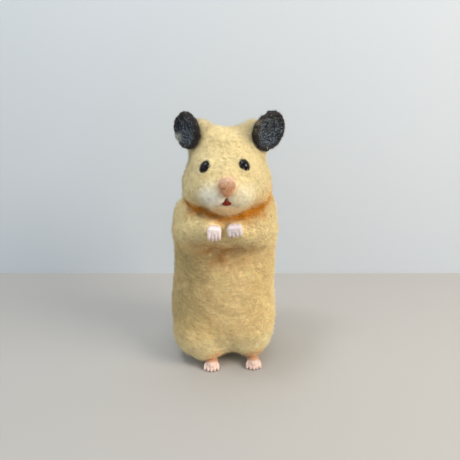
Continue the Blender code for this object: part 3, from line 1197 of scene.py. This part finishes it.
@dataclass
class WoolBody:
    """The felted head, neck, trunk, arms, legs and tail in one skin, and their loose fibres."""

    face: Face
    markings: Markings
    voxel: float = 0.5
    rounds: int = 5
    overlap: float = 0.3  # what each piece grows by, so that the seams close
    coat: float = 0.45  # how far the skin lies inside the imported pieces
    evening: tuple[int, ...] = (160, 90, 260)  # rounds for the form, the cheeks, the underarms
    relief: tuple[float, float] = (0.12, 0.04)  # the height of broad and of fine unevenness
    lid: float = 0.55  # how far the wool swells round a bead
    socket: float = 0.5  # and how far it sinks behind it
    groove: float = 0.55  # how wide and deep the groove under the nose is
    lips: float = 0.45  # how deep the line of the mouth is
    pinch: float = 0.075  # how far the trunk's lower corners are drawn in
    wrist: Place = (2.9, 3.2, 2.3)  # half sizes of the wool that fills in behind a hand
    ankle: Place = (3.3, 3.2, 2.4)  # and behind a foot
    fold: Place = (4.6, 4.2, 3.2)  # and under each side of the jaw
    mound: Place = (6.3, 5.4, 10.2)  # and under each ear
    dents: tuple[Dent, ...] = (
        Dent((-15.5, -1.5, 105.0), 1.2, 4.0),  # the temple
        Dent((-20.0, 2.0, 84.0), 1.3, 3.4),  # the crease between cheek and shoulder
        Dent((26.5, 3.0, 36.0), 0.9, 13.0),  # the waist
        Dent((21.0, -5.0, 4.0), 0.8, 4.0),  # the haunch's lower edge
    )

    def build(self) -> None:
        """Makes the skin and every fleece."""
        self.skin = self.melt()
        unwrap(self.skin)
        self.sculpt()
        finished(self.skin, Felt("cream_felt").make(), Slot.CREAM_WOOL, *FLESH)
        self.surface = Surface(self.skin)
        self.bars = [tree_of(node) for node in sorted(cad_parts) if node not in FLESH]
        self.grow_coat()

    def melt(self) -> Thing:
        """Works the parted pieces into one skin, with what they hold filled in.

        Returns:
            The skin.
        """
        form = bmesh.new()
        for node in FLESH:
            add_node(form, node, self.overlap)
        for node in PLUGS:
            add_node(form, node, 0.0)
        for side in Side:
            low, high = box_of(side.node("hand"))
            middle = ((low[0] + high[0]) / 2, high[1] - 1.0, (low[2] + high[2]) / 2)
            add_ball(form, middle, self.wrist)
            low, high = box_of(side.node("foot"))
            add_ball(form, ((low[0] + high[0]) / 2, high[1] - 3.2, 2.8), self.ankle)
        for middle in self.face.folds:
            add_ball(form, middle, self.fold)
        for middle in self.face.mounds:
            add_ball(form, middle, self.mound)
        return melted("wool_skin", form, self.voxel, self.rounds)

    def sculpt(self) -> None:
        """Sets the skin in by the coat's depth, needles the fine forms into it and tints it."""
        mesh, face = self.skin.data, self.face
        points, ways = points_of(mesh), normals_of(mesh)
        for share, rounds in zip((self.softness, self.cheeks, self.underarms), self.evening):
            points = relaxed(mesh, points, share(points), rounds)
        move = np.full(len(points), -(self.overlap + self.coat))
        for height, waves in zip(self.relief, (Waves(7.0, 11), Waves(2.6, 12))):
            move += height * waves.at(points)
        for eye in face.eyes.values():
            reach = eye.reach(points)
            lid = self.lid + 0.35 * np.clip(np.abs(eye.local(points)[:, 2]), 0, 1.2) ** 2
            move += lid * bell(reach - 1.12, 0.28) * eased(reach, 0.85, 1.05)
            move -= self.socket * eased(reach, 1.0, 0.8)
        move -= self.groove * bell(face.off_philtrum(points), self.groove)
        move -= self.lips * bell(face.off_lips(points), self.groove)
        for dent in self.dents:
            move -= dent.depth * bell(off(points, dent.middle), dent.reach)
        points = points + ways * move[:, None]
        corner = eased(points[:, 2], 10, 3) * eased(np.abs(points[:, 0]), 12, 19)
        points[:, 0] *= 1 - self.pinch * corner
        points[:, 2] -= (self.coat + 0.2) * eased(points[:, 2], 2.0, 0.6)
        points[:, 2] = np.maximum(points[:, 2], 0.05)
        set_points(mesh, points)
        # painted shade: the groove under the nose and the line of the mouth are tinted darker in the
        # skin's colour
        groove = np.maximum(bell(face.off_philtrum(points), 0.5), bell(face.off_lips(points), 0.5))
        paint(mesh, Dye.LID.over(self.markings.at(points), 0.42 * groove))

    def softness(self, points: Rows) -> Rows:
        """How far each point joins in when the form is evened.

        Args:
            points: the points.

        Returns:
            A share from 0 to 1 for each point.
        """
        rise = self.markings.jaw(points)
        legs = eased(points[:, 2], 46, 34)  # the trunk up to where the haunches end
        crease = bell(rise + 2.0, 4.0) * eased(points[:, 0], 8, 14)
        arms = bell(points[:, 2] - 61.0, 8.0) * eased(points[:, 1], -4, -10)
        head = eased(rise, 1.0, 4.0) * 0.5
        return np.max((legs, 0.6 * crease, arms, 0.7 * head), axis=0) * self.free(points)

    def cheeks(self, points: Rows) -> Rows:
        """How far each point joins in when the muzzle is led into the cheeks, from 0 to 1."""
        near = eased(off(points, self.face.muzzle, (1.0, 1.0, 0.8)), 19.0, 14.0)
        return near * eased(self.markings.jaw(points), -0.5, 2.0) * self.free(points)

    def underarms(self, points: Rows) -> Rows:
        """How far each point joins in when the arms are led into the belly, from 0 to 1."""
        aside = eased(np.abs(points[:, 0] - self.face.mid), 22, 15)
        return bell(points[:, 2] - 66.0, 5.5) * eased(points[:, 1], -8, -13) * aside

    def free(self, points: Rows) -> Rows:
        """0 at the eyes, the nose and the lips, whose wool keeps its form, and 1 elsewhere.

        Args:
            points: the points.

        Returns:
            A share from 0 to 1 for each point.
        """
        share = eased(off(points, self.face.lips, (0.9, 1.0, 1.5)), 3.2, 6.0)
        for eye in self.face.eyes.values():
            share *= eased(eye.reach(points), 1.25, 1.7)
        return share

    def clear(self, points: Rows, gap: float = 0.25) -> Rows:
        """True where a point is clear of the beads, the clay, the ears, the nose and the mouth.

        Args:
            points: the points.
            gap: how near it may come, in millimetres.

        Returns:
            One truth for each point.
        """
        fine = np.ones(len(points), bool)
        for tree in self.bars:
            for i in np.flatnonzero(fine):
                place, way, _, _ = tree.find_nearest(points[i], 3.0)
                if place is None:
                    continue
                away = Vector(points[i]) - place
                if away.length < gap or away.dot(way) < 0:
                    fine[i] = False
        return fine

    def open_skin(self, points: Rows) -> Rows:
        """True where strands leave the face's grooves, the mouth and the eyes free.

        Args:
            points: the points.

        Returns:
            One truth for each point.
        """
        face = self.face
        near = np.minimum(face.off_philtrum(points), face.off_lips(points))
        fine = (near > 0.45) & (face.off_mouth(points) > 0.4)
        for eye in face.eyes.values():
            fine &= eye.reach(points) > 1.16
        return fine & self.clear(points)

    def swirl(self, points: Rows, _: Rows) -> Rows:
        """The angle that the body's fibres set out at from their roots."""
        slope = -0.7 * eased(points[:, 0], -6, -22)
        return slope + 0.25 * Waves(24, 21).at(points) + 0.2 * Waves(8, 22).at(points)

    def tousle(self, points: Rows, _: Rows) -> Rows:
        """The angle that the head's short fibres set out at from their roots."""
        return 1.2 + 0.7 * Waves(12, 23).at(points)

    def on_head(self, points: Rows) -> Rows:
        """How far each point belongs to the head, from 0 to 1."""
        return eased(self.markings.jaw(points), -0.5, 1.5)

    def below_head(self, points: Rows) -> Rows:
        """How far each point belongs to the body, from 0 to 1."""
        return 1 - self.on_head(points) * 0.97

    def dark(self, points: Rows) -> Rows:
        """The brown of the short fibres round the eyes."""
        return np.tile(Dye.LID.light * 0.7, (len(points), 1))

    def round_eyes(self, points: Rows) -> Rows:
        """How near each point lies to an eye's rim, from 0 to 1."""
        reaches = [eye.reach(points) for eye in self.face.eyes.values()]
        return bell(np.min(reaches, axis=0) - 1.05, 0.12) + 1e-9

    def grow_coat(self) -> None:
        """Grows the wool over the skin, from broad wisps to the short fibres round the eyes."""
        wool = Fibre("cream_wool_fibres").make()
        body = (self.swirl, self.markings.at, self.below_head, self.open_skin)
        head = (self.tousle, self.markings.at, self.on_head, self.open_skin)
        hairs = (self.swirl, self.markings.at, everywhere, self.open_skin)
        lashes = (self.tousle, self.dark, self.round_eyes, everywhere)
        for name, lay, ways in (
            ("body_wisps", Lay(9500, (2.8, 6.2), 0.22, 0.06, 5, 0.2, -0.05, 0.22, 0.45, 0.17, 31),
             body),
            ("body_fibres", Lay(19500, (2.0, 4.6), 0.12, 0.06, 4, 0.32, 0.12, 0.3, 0.5, 0.19, 32),
             body),
            ("head_wisps", Lay(4500, (1.4, 2.8), 0.13, 0.035, 4, 0.06, -0.05, 1.3, 0.6, 0.07, 33),
             head),
            ("head_fibres", Lay(17500, (1.1, 2.4), 0.085, 0.035, 4, 0.12, 0.1, 1.5, 0.7, 0.11, 34),
             head),
            ("loose_hairs", Lay(48000, (1.4, 3.2), 0.11, 0.06, 2, 0.3, 1.35, 0.9, 0.0, 0.12, 35),
             hairs),
            ("eye_rim_fibres", Lay(260, (0.6, 1.5), 0.07, 0.05, 3, 0.12, 0.1, 0.9, 1.0, 0.2, 36),
             lashes),
        ):
            Fleece(name, self.surface, lay, *ways).grow(wool, Slot.CREAM_WOOL)


# ---- eyes, nose and mouth


@dataclass
class Eye:
    """One glass bead, pressed into the wool."""

    side: Side
    ball: Ellipsoid
    fineness: int = 5  # how often its faces are split

    def build(self, finish: Material) -> None:
        """Makes the bead.

        Args:
            finish: its glass.
        """
        node = self.side.node("eye")
        form = bmesh.new()
        bmesh.ops.create_icosphere(form, subdivisions=self.fineness, radius=1.0)
        mesh = mesh_of(node + "_bead", form)
        local = gathered(mesh.vertices, "co", 3) * self.ball.halves
        set_points(mesh, local @ self.ball.axes + self.ball.middle)
        if np.linalg.det(self.ball.axes) < 0:
            mesh.flip_normals()
        mesh.shade_smooth()
        finished(placed(node + "_bead", mesh), finish, Slot.BLACK_BEAD, node)


@dataclass
class Nose:
    """The felt nose: a rounded triangle with two pressed nostrils."""

    voxel: float = 0.2
    rounds: int = 14
    nostril: float = 0.75  # how wide each nostril's dent is

    def __post_init__(self) -> None:
        """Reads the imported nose."""
        self.low, self.high = box_of("nose")

    def build(self) -> None:
        """Makes the nose and its short fibres."""
        low, mid = self.low, (self.low[0] + self.high[0]) / 2
        form = bmesh.new()
        add_node(form, "nose", 0.0)
        obj = melted("nose_felt", form, self.voxel, self.rounds)
        mesh = obj.data
        points, ways = points_of(mesh), normals_of(mesh)
        dents = np.zeros(len(points))
        for side in Side:
            middle = (mid + side.value * 1.9, low[1] + 1.2, low[2] + 3.6)
            dents += bell(off(points, middle), self.nostril)
        points += ways * (0.1 * Waves(1.6, 41).at(points) - 0.15 * dents)[:, None]
        set_points(mesh, points)
        colour = Dye.NOSTRIL.over(self.at(points), 0.15 * dents)
        # painted shade: the nose is laid browner towards its lowest edge, which faces down
        colour = Dye.NOSTRIL.over(colour, 0.3 * eased(points[:, 2], low[2] + 2, low[2]))
        paint(mesh, colour)
        unwrap(obj)
        felt = Felt("pink_felt", (0.92, 1.08), (0.9, 1.1), 0.12)
        finished(obj, felt.make(), Slot.PINK_WOOL, "nose")
        lay = Lay(1500, (0.8, 1.8), 0.085, 0.06, 3, 0.2, 0.3, 1.5, 1.0, 0.12, 42)
        fleece = Fleece("nose_fibres", Surface(obj), lay, self.whorl, self.at, self.in_front)
        fleece.grow(Fibre("pink_wool_fibres").make(), Slot.PINK_WOOL)

    def at(self, points: Rows) -> Rows:
        """The nose's colour by place, with painted light that makes it paler towards its top."""
        rise = points[:, 2] - self.low[2]
        return Dye.NOSE_TOP.over(Dye.NOSE.light, eased(rise, 4.0, 6.6))

    def whorl(self, points: Rows, _: Rows) -> Rows:
        """The angle that the nose's fibres set out at from their roots."""
        return Waves(2, 43).at(points) * 2

    def in_front(self, points: Rows) -> Rows:
        """How far each point belongs to the nose's open front, from 0 to 1."""
        return eased(points[:, 1], self.high[1] - 1, self.high[1] - 2)


@dataclass
class Mouth:
    """The dark red wedge of wool inside the split lip."""

    face: Face
    voxel: float = 0.15
    rounds: int = 2

    def build(self) -> None:
        """Makes the wedge from three balls, one over another."""
        low, high = box_of("mouth")
        form = bmesh.new()
        mid = self.face.mid
        add_ball(form, (mid, low[1] + 1.6, low[2] + 1.1), (1.9, 1.7, 0.95))
        add_ball(form, (mid, low[1] + 1.5, low[2] + 1.9), (1.1, 1.6, 0.95))
        add_ball(form, (mid, low[1] + 1.4, high[2] - 0.5), (0.5, 1.4, 0.7))
        obj = melted("mouth_felt", form, self.voxel, self.rounds)
        mesh = obj.data
        points, ways = points_of(mesh), normals_of(mesh)
        points += ways * (0.05 * Waves(1.2, 51).at(points))[:, None]
        set_points(mesh, points)
        shut = eased(points[:, 2], high[2] - 1.6, high[2] - 0.8)
        paint(mesh, Dye.MOUTH_TOP.over(Dye.MOUTH.light, 0.9 * shut))
        felt = Felt("dark_red_felt", (0.8, 1.2), (0.85, 1.15), 0.1, 0.1)
        finished(obj, felt.make(), Slot.DARK_RED_WOOL, "mouth")


# ---- ears


@dataclass
class Ear:
    """One felt ear: a cupped dish, blue-grey inside, with a brown-black rim."""

    side: Side
    fringe: int  # how many of the head's fibres run out over it
    voxel: float = 0.3
    rounds: int = 10
    shrink: float = 0.1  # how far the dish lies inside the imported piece, before its relief
    trim: float = 0.45  # and how far its edge does

    def __post_init__(self) -> None:
        """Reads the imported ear."""
        self.node = self.side.node("ear")
        self.low, self.high = box_of(self.node)
        self.root = self.low[0] if self.side is Side.LEFT else self.high[0]

    def build(self, felt: Material, wool: Material) -> None:
        """Makes the dish and its fibres.

        Args:
            felt: the dish's finish.
            wool: the fibres' finish.
        """
        form = bmesh.new()
        add_node(form, self.node, -self.shrink)
        obj = melted(self.node + "_felt", form, self.voxel, self.rounds)
        mesh = obj.data
        points, ways = points_of(mesh), normals_of(mesh)
        self.middle = points.mean(0)
        self.axes = np.linalg.eigh(np.cov((points - self.middle).T))[1].T
        if self.axes[0][1] > 0:
            self.axes[0] *= -1
        self.halves = np.abs(self.local(points)).max(0)
        inner = self.hollow(points) * (ways @ self.axes[0] > 0.1)
        move = 0.14 * Waves(3.4, 61).at(points) + 0.08 * Waves(1.3, 62).at(points) - 0.25 * inner
        local = self.local(points + ways * move[:, None])
        local[:, 1:] *= 1 - self.trim / self.halves[1:]
        set_points(mesh, local @ self.axes + self.middle)
        paint(mesh, self.at(points_of(mesh)))
        unwrap(obj)
        finished(obj, felt, Slot.CHARCOAL_WOOL, self.node)
        surface = Surface(obj)
        fringe, thin = self.fringe, 0.07
        for name, lay, tint, density in (
            ("wisps", Lay(900, (2.0, 4.0), 0.2, 0.09, 4, 0.16, 0.0, 0.7, 1.2, 0.25, 63),
             self.at, everywhere),
            ("fibres", Lay(3200, (1.2, 3.2), 0.1, 0.07, 4, 0.22, 0.35, 1.2, 1.6, 0.4, 64),
             self.at, everywhere),
            ("flecks", Lay(750, (0.8, 2.0), 0.1, 0.06, 4, 0.3, 0.3, 1.5, 1.2, 0.4, 68),
             self.pale, self.hollow),
            ("fuzz", Lay(2200, (1.0, 2.4), 0.065, 0.05, 2, 0.2, 1.1, 1.5, 0.0, 0.3, 67),
             self.haze, everywhere),
            ("fringe", Lay(fringe, (2.0, 4.5), thin, 0.06, 4, 0.35, 0.5, 0.35, 0.8, 0.15, 69),
             self.cream, self.by_head),
            ("shreds", Lay(420, (2.0, 4.2), 0.09, 0.06, 4, 0.5, 0.7, 0.7, 0.8, 0.4, 70),
             self.at, self.by_root),
        ):
            fleece = Fleece(f"{self.node}_{name}", surface, lay, self.sweep, tint, density)
            fleece.grow(wool, Slot.CHARCOAL_WOOL)

    def local(self, points: Rows) -> Rows:
        """The points along the ear's axes: out of the hollow, across it and along it."""
        return (points - self.middle) @ self.axes.T

    def by_root(self, points: Rows) -> Rows:
        """How near each point lies to the side where the ear is felted on, from 0 to 1."""
        return eased(np.abs(points[:, 0] - self.root), 3.0, 0.5) + 1e-9

    def by_head(self, points: Rows) -> Rows:
        """How near each point lies to the head's wool on the ear's upper front.

        Args:
            points: the points.

        Returns:
            A share from 0 to 1 for each point.
        """
        top = self.high[2]
        front = eased(self.local(points)[:, 0], -1.2, -0.2)
        front *= eased(points[:, 2], top - 11, top - 7)
        return eased(np.abs(points[:, 0] - self.root), 3.2, 0.2) * front + 1e-9

    def hollow(self, points: Rows) -> Rows:
        """How far each point lies within the ear's hollow, from 0 to 1."""
        local = self.local(points) / self.halves
        return eased(np.hypot(local[:, 1], local[:, 2]), 0.82, 0.6)

    def cream(self, points: Rows) -> Rows:
        """The colour of the head's wool where it runs out over the ear."""
        return np.tile(0.3 * Dye.HEAD.light + 0.6 * Dye.SMOKE.light, (len(points), 1))

    def haze(self, points: Rows) -> Rows:
        """The colour of the finest hairs, which stand out from the rim."""
        return 0.8 * self.at(points) + 0.2 * Dye.EAR_PALE.light

    def pale(self, points: Rows) -> Rows:
        """The colour of the pale hairs in the ear's hollow."""
        return np.tile(Dye.EAR_PALE.light, (len(points), 1))

    def at(self, points: Rows) -> Rows:
        """The ear's colour by place.

        Args:
            points: the points.

        Returns:
            The colours.
        """
        top = self.high[2]
        within = self.hollow(points) * eased(self.local(points)[:, 0], -1.5, -0.4)
        within *= 0.25 + 0.75 * eased(points[:, 2], top - 3.5, top - 8.0)
        fleck = 1 + 0.22 * Waves(1.8, 65).at(points)[:, None]
        colour = Dye.EAR_SLATE.over(Dye.EAR_INK.light, within, fleck)
        if self.side is Side.RIGHT:
            edge = (self.low[0] + 2.0, self.high[1] - 4.2, self.low[2] + 4.4)
            frost = Spot(Dye.EAR_FROST, edge, (0.8, 1.2, 1.2), (3.2, 1.2), 0.85)
            colour = frost.over(colour, points)
        return colour

    def sweep(self, points: Rows, _: Rows) -> Rows:
        """The angle that the ear's fibres set out at from their roots."""
        outward = 0.0 if self.side is Side.LEFT else math.pi
        return outward + 0.35 * self.side.value + 0.7 * Waves(5, 66).at(points)


# ---- hands and feet


@dataclass
class Hand:
    """One clay hand: a broad back and four fingers that hook down."""

    side: Side
    dye: Dye
    lean: float  # how far it leans to one side, in degrees
    width: float
    droop: float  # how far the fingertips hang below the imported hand
    voxel: float = 0.14
    rounds: int = 7
    bone: float = 1.3  # the radius of the rods that square off its back
    finger: tuple[float, ...] = (0.84, 0.78, 0.7, 0.56)  # its radii from knuckle to tip
    groove: float = 0.22  # how wide the tint between two fingers is

    def build(self, finish: Material) -> None:
        """Makes the hand.

        Args:
            finish: its clay.
        """
        node = self.side.node("hand")
        low, high = box_of(node)
        x, knuckles = (low[0] + high[0]) / 2, low[1] + 1.9
        top = high[2] - 0.35 - abs(self.lean) * 0.03
        pitch = self.width / 4
        form = bmesh.new()
        self.add_back(form, x, knuckles, top)
        for finger in range(4):
            out = (finger - 1.5) * pitch * 0.97
            tip = low[2] + 0.75 - self.droop + 0.35 * abs(finger - 1.3)
            stops = (
                (x + out * 0.95, knuckles - 0.7, top - 2.2),
                (x + out, knuckles - 0.95, top - 3.1),
                (x + out, knuckles - 1.1, (top - 3.2 + tip) / 2),
                (x + out * 1.04, knuckles - 0.8, tip),
            )
            add_rod(form, list(zip(stops, self.finger)))
        obj = melted(node + "_clay", form, self.voxel, self.rounds)
        pivot = (x, knuckles, (low[2] + high[2]) / 2)
        points = turned(points_of(obj.data), self.lean, "Y", pivot)
        set_points(obj.data, points)
        tips = eased(points[:, 2], low[2] + 2.2, low[2] + 0.4) * 0.35
        wrist = eased(points[:, 1], knuckles + 2.2, knuckles + 4.5)
        colour = Dye.HAND_BLUSH.over(self.dye.light, np.maximum(tips, wrist * 0.8))
        fingers = eased(points[:, 2], top - 2.2, top - 3.4)
        # painted shade: the gaps between the fingers are laid darker pink
        between = [bell(points[:, 0] - (x + gap * pitch), self.groove) for gap in (-1, 0, 1)]
        colour = Dye.HAND_BLUSH.over(colour, 0.5 * fingers * np.max(between, axis=0), 0.8)
        paint(obj.data, colour)
        finished(obj, finish, Slot.PALE_CLAY, node)

    def add_back(self, form: Form, x: float, knuckles: float, top: float) -> None:
        """Adds the back of the hand, squared off by rods along it and across the knuckles.

        Args:
            form: what it is added to.
            x: the hand's midline.
            knuckles: how far back the knuckles are.
            top: how high the back is.
        """
        add_ball(form, (x, knuckles + 2.4, top - 2.3), (self.width / 2 - 0.1, 4.2, 1.9))
        aside = self.width / 2 - self.bone
        for out in (-aside, 0.0, aside):
            add_rod(form, [
                ((x + out, knuckles, top - self.bone), self.bone),
                ((x + out * 0.9, knuckles + 4.0, top - 1.9), self.bone),
            ])
        for down in (1.5, 2.0):
            add_rod(form, [
                ((x - aside, knuckles, top - down), 1.45),
                ((x, knuckles - 0.1, top - down), 1.5),
                ((x + aside, knuckles, top - down), 1.45),
            ])


@dataclass
class Foot:
    """One clay foot: a short instep and five spread toes."""

    side: Side
    turn: float  # how far it turns out, in degrees
    width: float = 7.8
    voxel: float = 0.16
    rounds: int = 3
    toe: tuple[float, ...] = (0.9, 0.9, 0.84, 0.72)  # its radii from instep to tip
    groove: float = 0.2  # how wide the tint between two toes is

    def build(self, finish: Material) -> None:
        """Makes the foot.

        Args:
            finish: its clay.
        """
        node = self.side.node("foot")
        low, high = box_of(node)
        x, toes = (low[0] + high[0]) / 2, low[1] + 0.1
        form = bmesh.new()
        add_ball(form, (x, toes + 5.8, 2.7), (self.width / 2 - 0.9, 5.0, 2.75))
        add_ball(form, (x, toes + 3.5, 1.7), (self.width / 2 - 0.1, 2.7, 1.7))
        pitch = self.width / 5
        for toe in range(5):
            out = (toe - 2) * pitch
            back = 0.45 * abs(toe - 2) ** 1.5
            stops = (
                (x + out * 0.8, toes + 3.8, 2.9),
                (x + out * 0.95, toes + 2.0 + back, 2.2),
                (x + out, toes + 1.1 + back, 1.4),
                (x + out * 1.02, toes + 0.85 + back, 0.76),
            )
            add_rod(form, list(zip(stops, self.toe)))
        obj = melted(node + "_clay", form, self.voxel, self.rounds)
        points = turned(points_of(obj.data), self.turn, "Z", (x, toes + 5.8, 0.0))
        points[:, 2] = np.maximum(points[:, 2], 0.0)
        set_points(obj.data, points)
        rise = eased(points[:, 2] + 0.35 * (points[:, 1] - toes), 4.4, 6.2)
        colour = Dye.FOOT_TOP.over(Dye.FOOT.light, 0.9 * rise)
        front = eased(points[:, 1], toes + 4.5, toes + 3.0)
        # painted shade: the gaps between the toes are laid darker at the front of the foot
        gaps = (-1.5, -0.5, 0.5, 1.5)
        between = [bell(points[:, 0] - (x + gap * pitch), self.groove) for gap in gaps]
        colour = Dye.FOOT_CREASE.over(colour, 0.45 * front * np.max(between, axis=0))
        paint(obj.data, colour)
        finished(obj, finish, Slot.PALE_CLAY, node)


# ---- studio


@dataclass(frozen=True)
class Lamp:
    """One soft square lamp, aimed at the figure's chest. Lengths are metres."""

    name: str
    place: Place
    size: float
    power: float
    colour: Place
    aim: Place = (0.0, 0.0, 0.07)

    def build(self) -> None:
        """Hangs the lamp."""
        data = bpy.data.lights.new(self.name, "AREA")
        data.size = self.size
        data.energy = self.power
        data.color = self.colour
        lamp = bpy.data.objects.new(self.name, data)
        bpy.context.scene.collection.objects.link(lamp)
        lamp.location = self.place
        way = Vector(self.aim) - Vector(self.place)
        lamp.rotation_euler = way.to_track_quat("-Z", "Y").to_euler()


@dataclass(frozen=True)
class Studio:
    """The floor, the wall behind, the lamps and the camera. Lengths are metres."""

    wall: float = 0.099
    half: float = 1.5  # half the width of the floor and of the wall
    daylight: tuple[float, ...] = (0.86, 0.9, 0.95, 1)
    brightness: float = 0.48
    camera: Place = (0.00291, -0.20684, 0.140)
    down: float = 19.25  # how far the camera looks down, in degrees
    lens: float = 36.0  # the lens and the sensor behind it, in millimetres
    sensor: float = 36.0
    lamps: tuple[Lamp, ...] = (
        Lamp("key", (0.48, -0.27, 0.42), 0.30, 3.1, (1.0, 0.89, 0.74)),
        Lamp("fill", (-0.48, -0.32, 0.44), 0.50, 0.55, (0.88, 0.98, 1.0)),
        Lamp("top", (-0.05, 0.02, 0.70), 0.40, 0.9, (0.97, 0.99, 1.0)),
        Lamp("glint", (-0.13, -0.10, 0.50), 0.08, 0.55, (1.0, 1.0, 1.0)),
        Lamp("bounce", (-0.10, -0.45, 0.06), 0.40, 0.12, (1.0, 0.94, 0.86)),
    )

    def build(self) -> None:
        """Sets everything up."""
        self.board("floor", Matt("pale_floor", Dye.FLOOR), Matrix.Identity(4))
        upright = Matrix.Translation((0, self.wall, 0)) @ Matrix.Rotation(math.radians(90), 4, "X")
        self.board("wall", Matt("pale_wall", Dye.WALL, one_sided=True), upright)
        for lamp in self.lamps:
            lamp.build()
        scene = bpy.context.scene
        world = bpy.data.worlds.new("room")
        world.use_nodes = True
        light = world.node_tree.nodes["Background"].inputs
        light["Color"].default_value = self.daylight
        light["Strength"].default_value = self.brightness
        scene.world = world
        scene.view_settings.view_transform = "Standard"
        lens = bpy.data.cameras.new("camera")
        lens.sensor_width = self.sensor
        lens.lens = self.lens
        lens.clip_start = 0.01
        eye = bpy.data.objects.new("camera", lens)
        scene.collection.objects.link(eye)
        eye.location = self.camera
        eye.rotation_euler = (math.radians(90 - self.down), 0, 0)
        scene.camera = eye

    def board(self, name: str, finish: Matt, place: Matrix) -> None:
        """Makes one large plain board.

        Args:
            name: its name.
            finish: its finish.
            place: where it lies and how it is turned.
        """
        form = bmesh.new()
        bmesh.ops.create_grid(form, x_segments=2, y_segments=2, size=self.half, matrix=place)
        obj = placed(name, mesh_of(name, form))
        obj.data.materials.append(finish.make())


def main() -> None:
    """Builds the figure piece by piece, then the studio round it."""
    face = Face()
    WoolBody(face, Markings(face)).build()
    glass = Bead("eye_glass").make()
    for side, ball in face.eyes.items():
        Eye(side, ball).build(glass)
    Nose().build()
    Mouth(face).build()
    felt = Felt("charcoal_felt", (0.75, 1.25), (0.8, 1.2), 0.2).make()
    wool = Fibre("charcoal_wool_fibres").make()
    Ear(Side.RIGHT, 25).build(felt, wool)
    Ear(Side.LEFT, 110).build(felt, wool)
    clay = Clay("hand_clay").make()
    Hand(Side.RIGHT, Dye.HAND_RIGHT, 0.0, 5.6, 0.9).build(clay)
    # painted shade: the left hand's clay gets a darker colour than the right hand's
    Hand(Side.LEFT, Dye.HAND_LEFT, -6.0, 6.1, 0.2).build(clay)
    clay = Clay("foot_clay").make()
    Foot(Side.RIGHT, 0.0).build(clay)
    Foot(Side.LEFT, 4.0).build(clay)
    Studio().build()


if __name__ == "__main__":
    main()
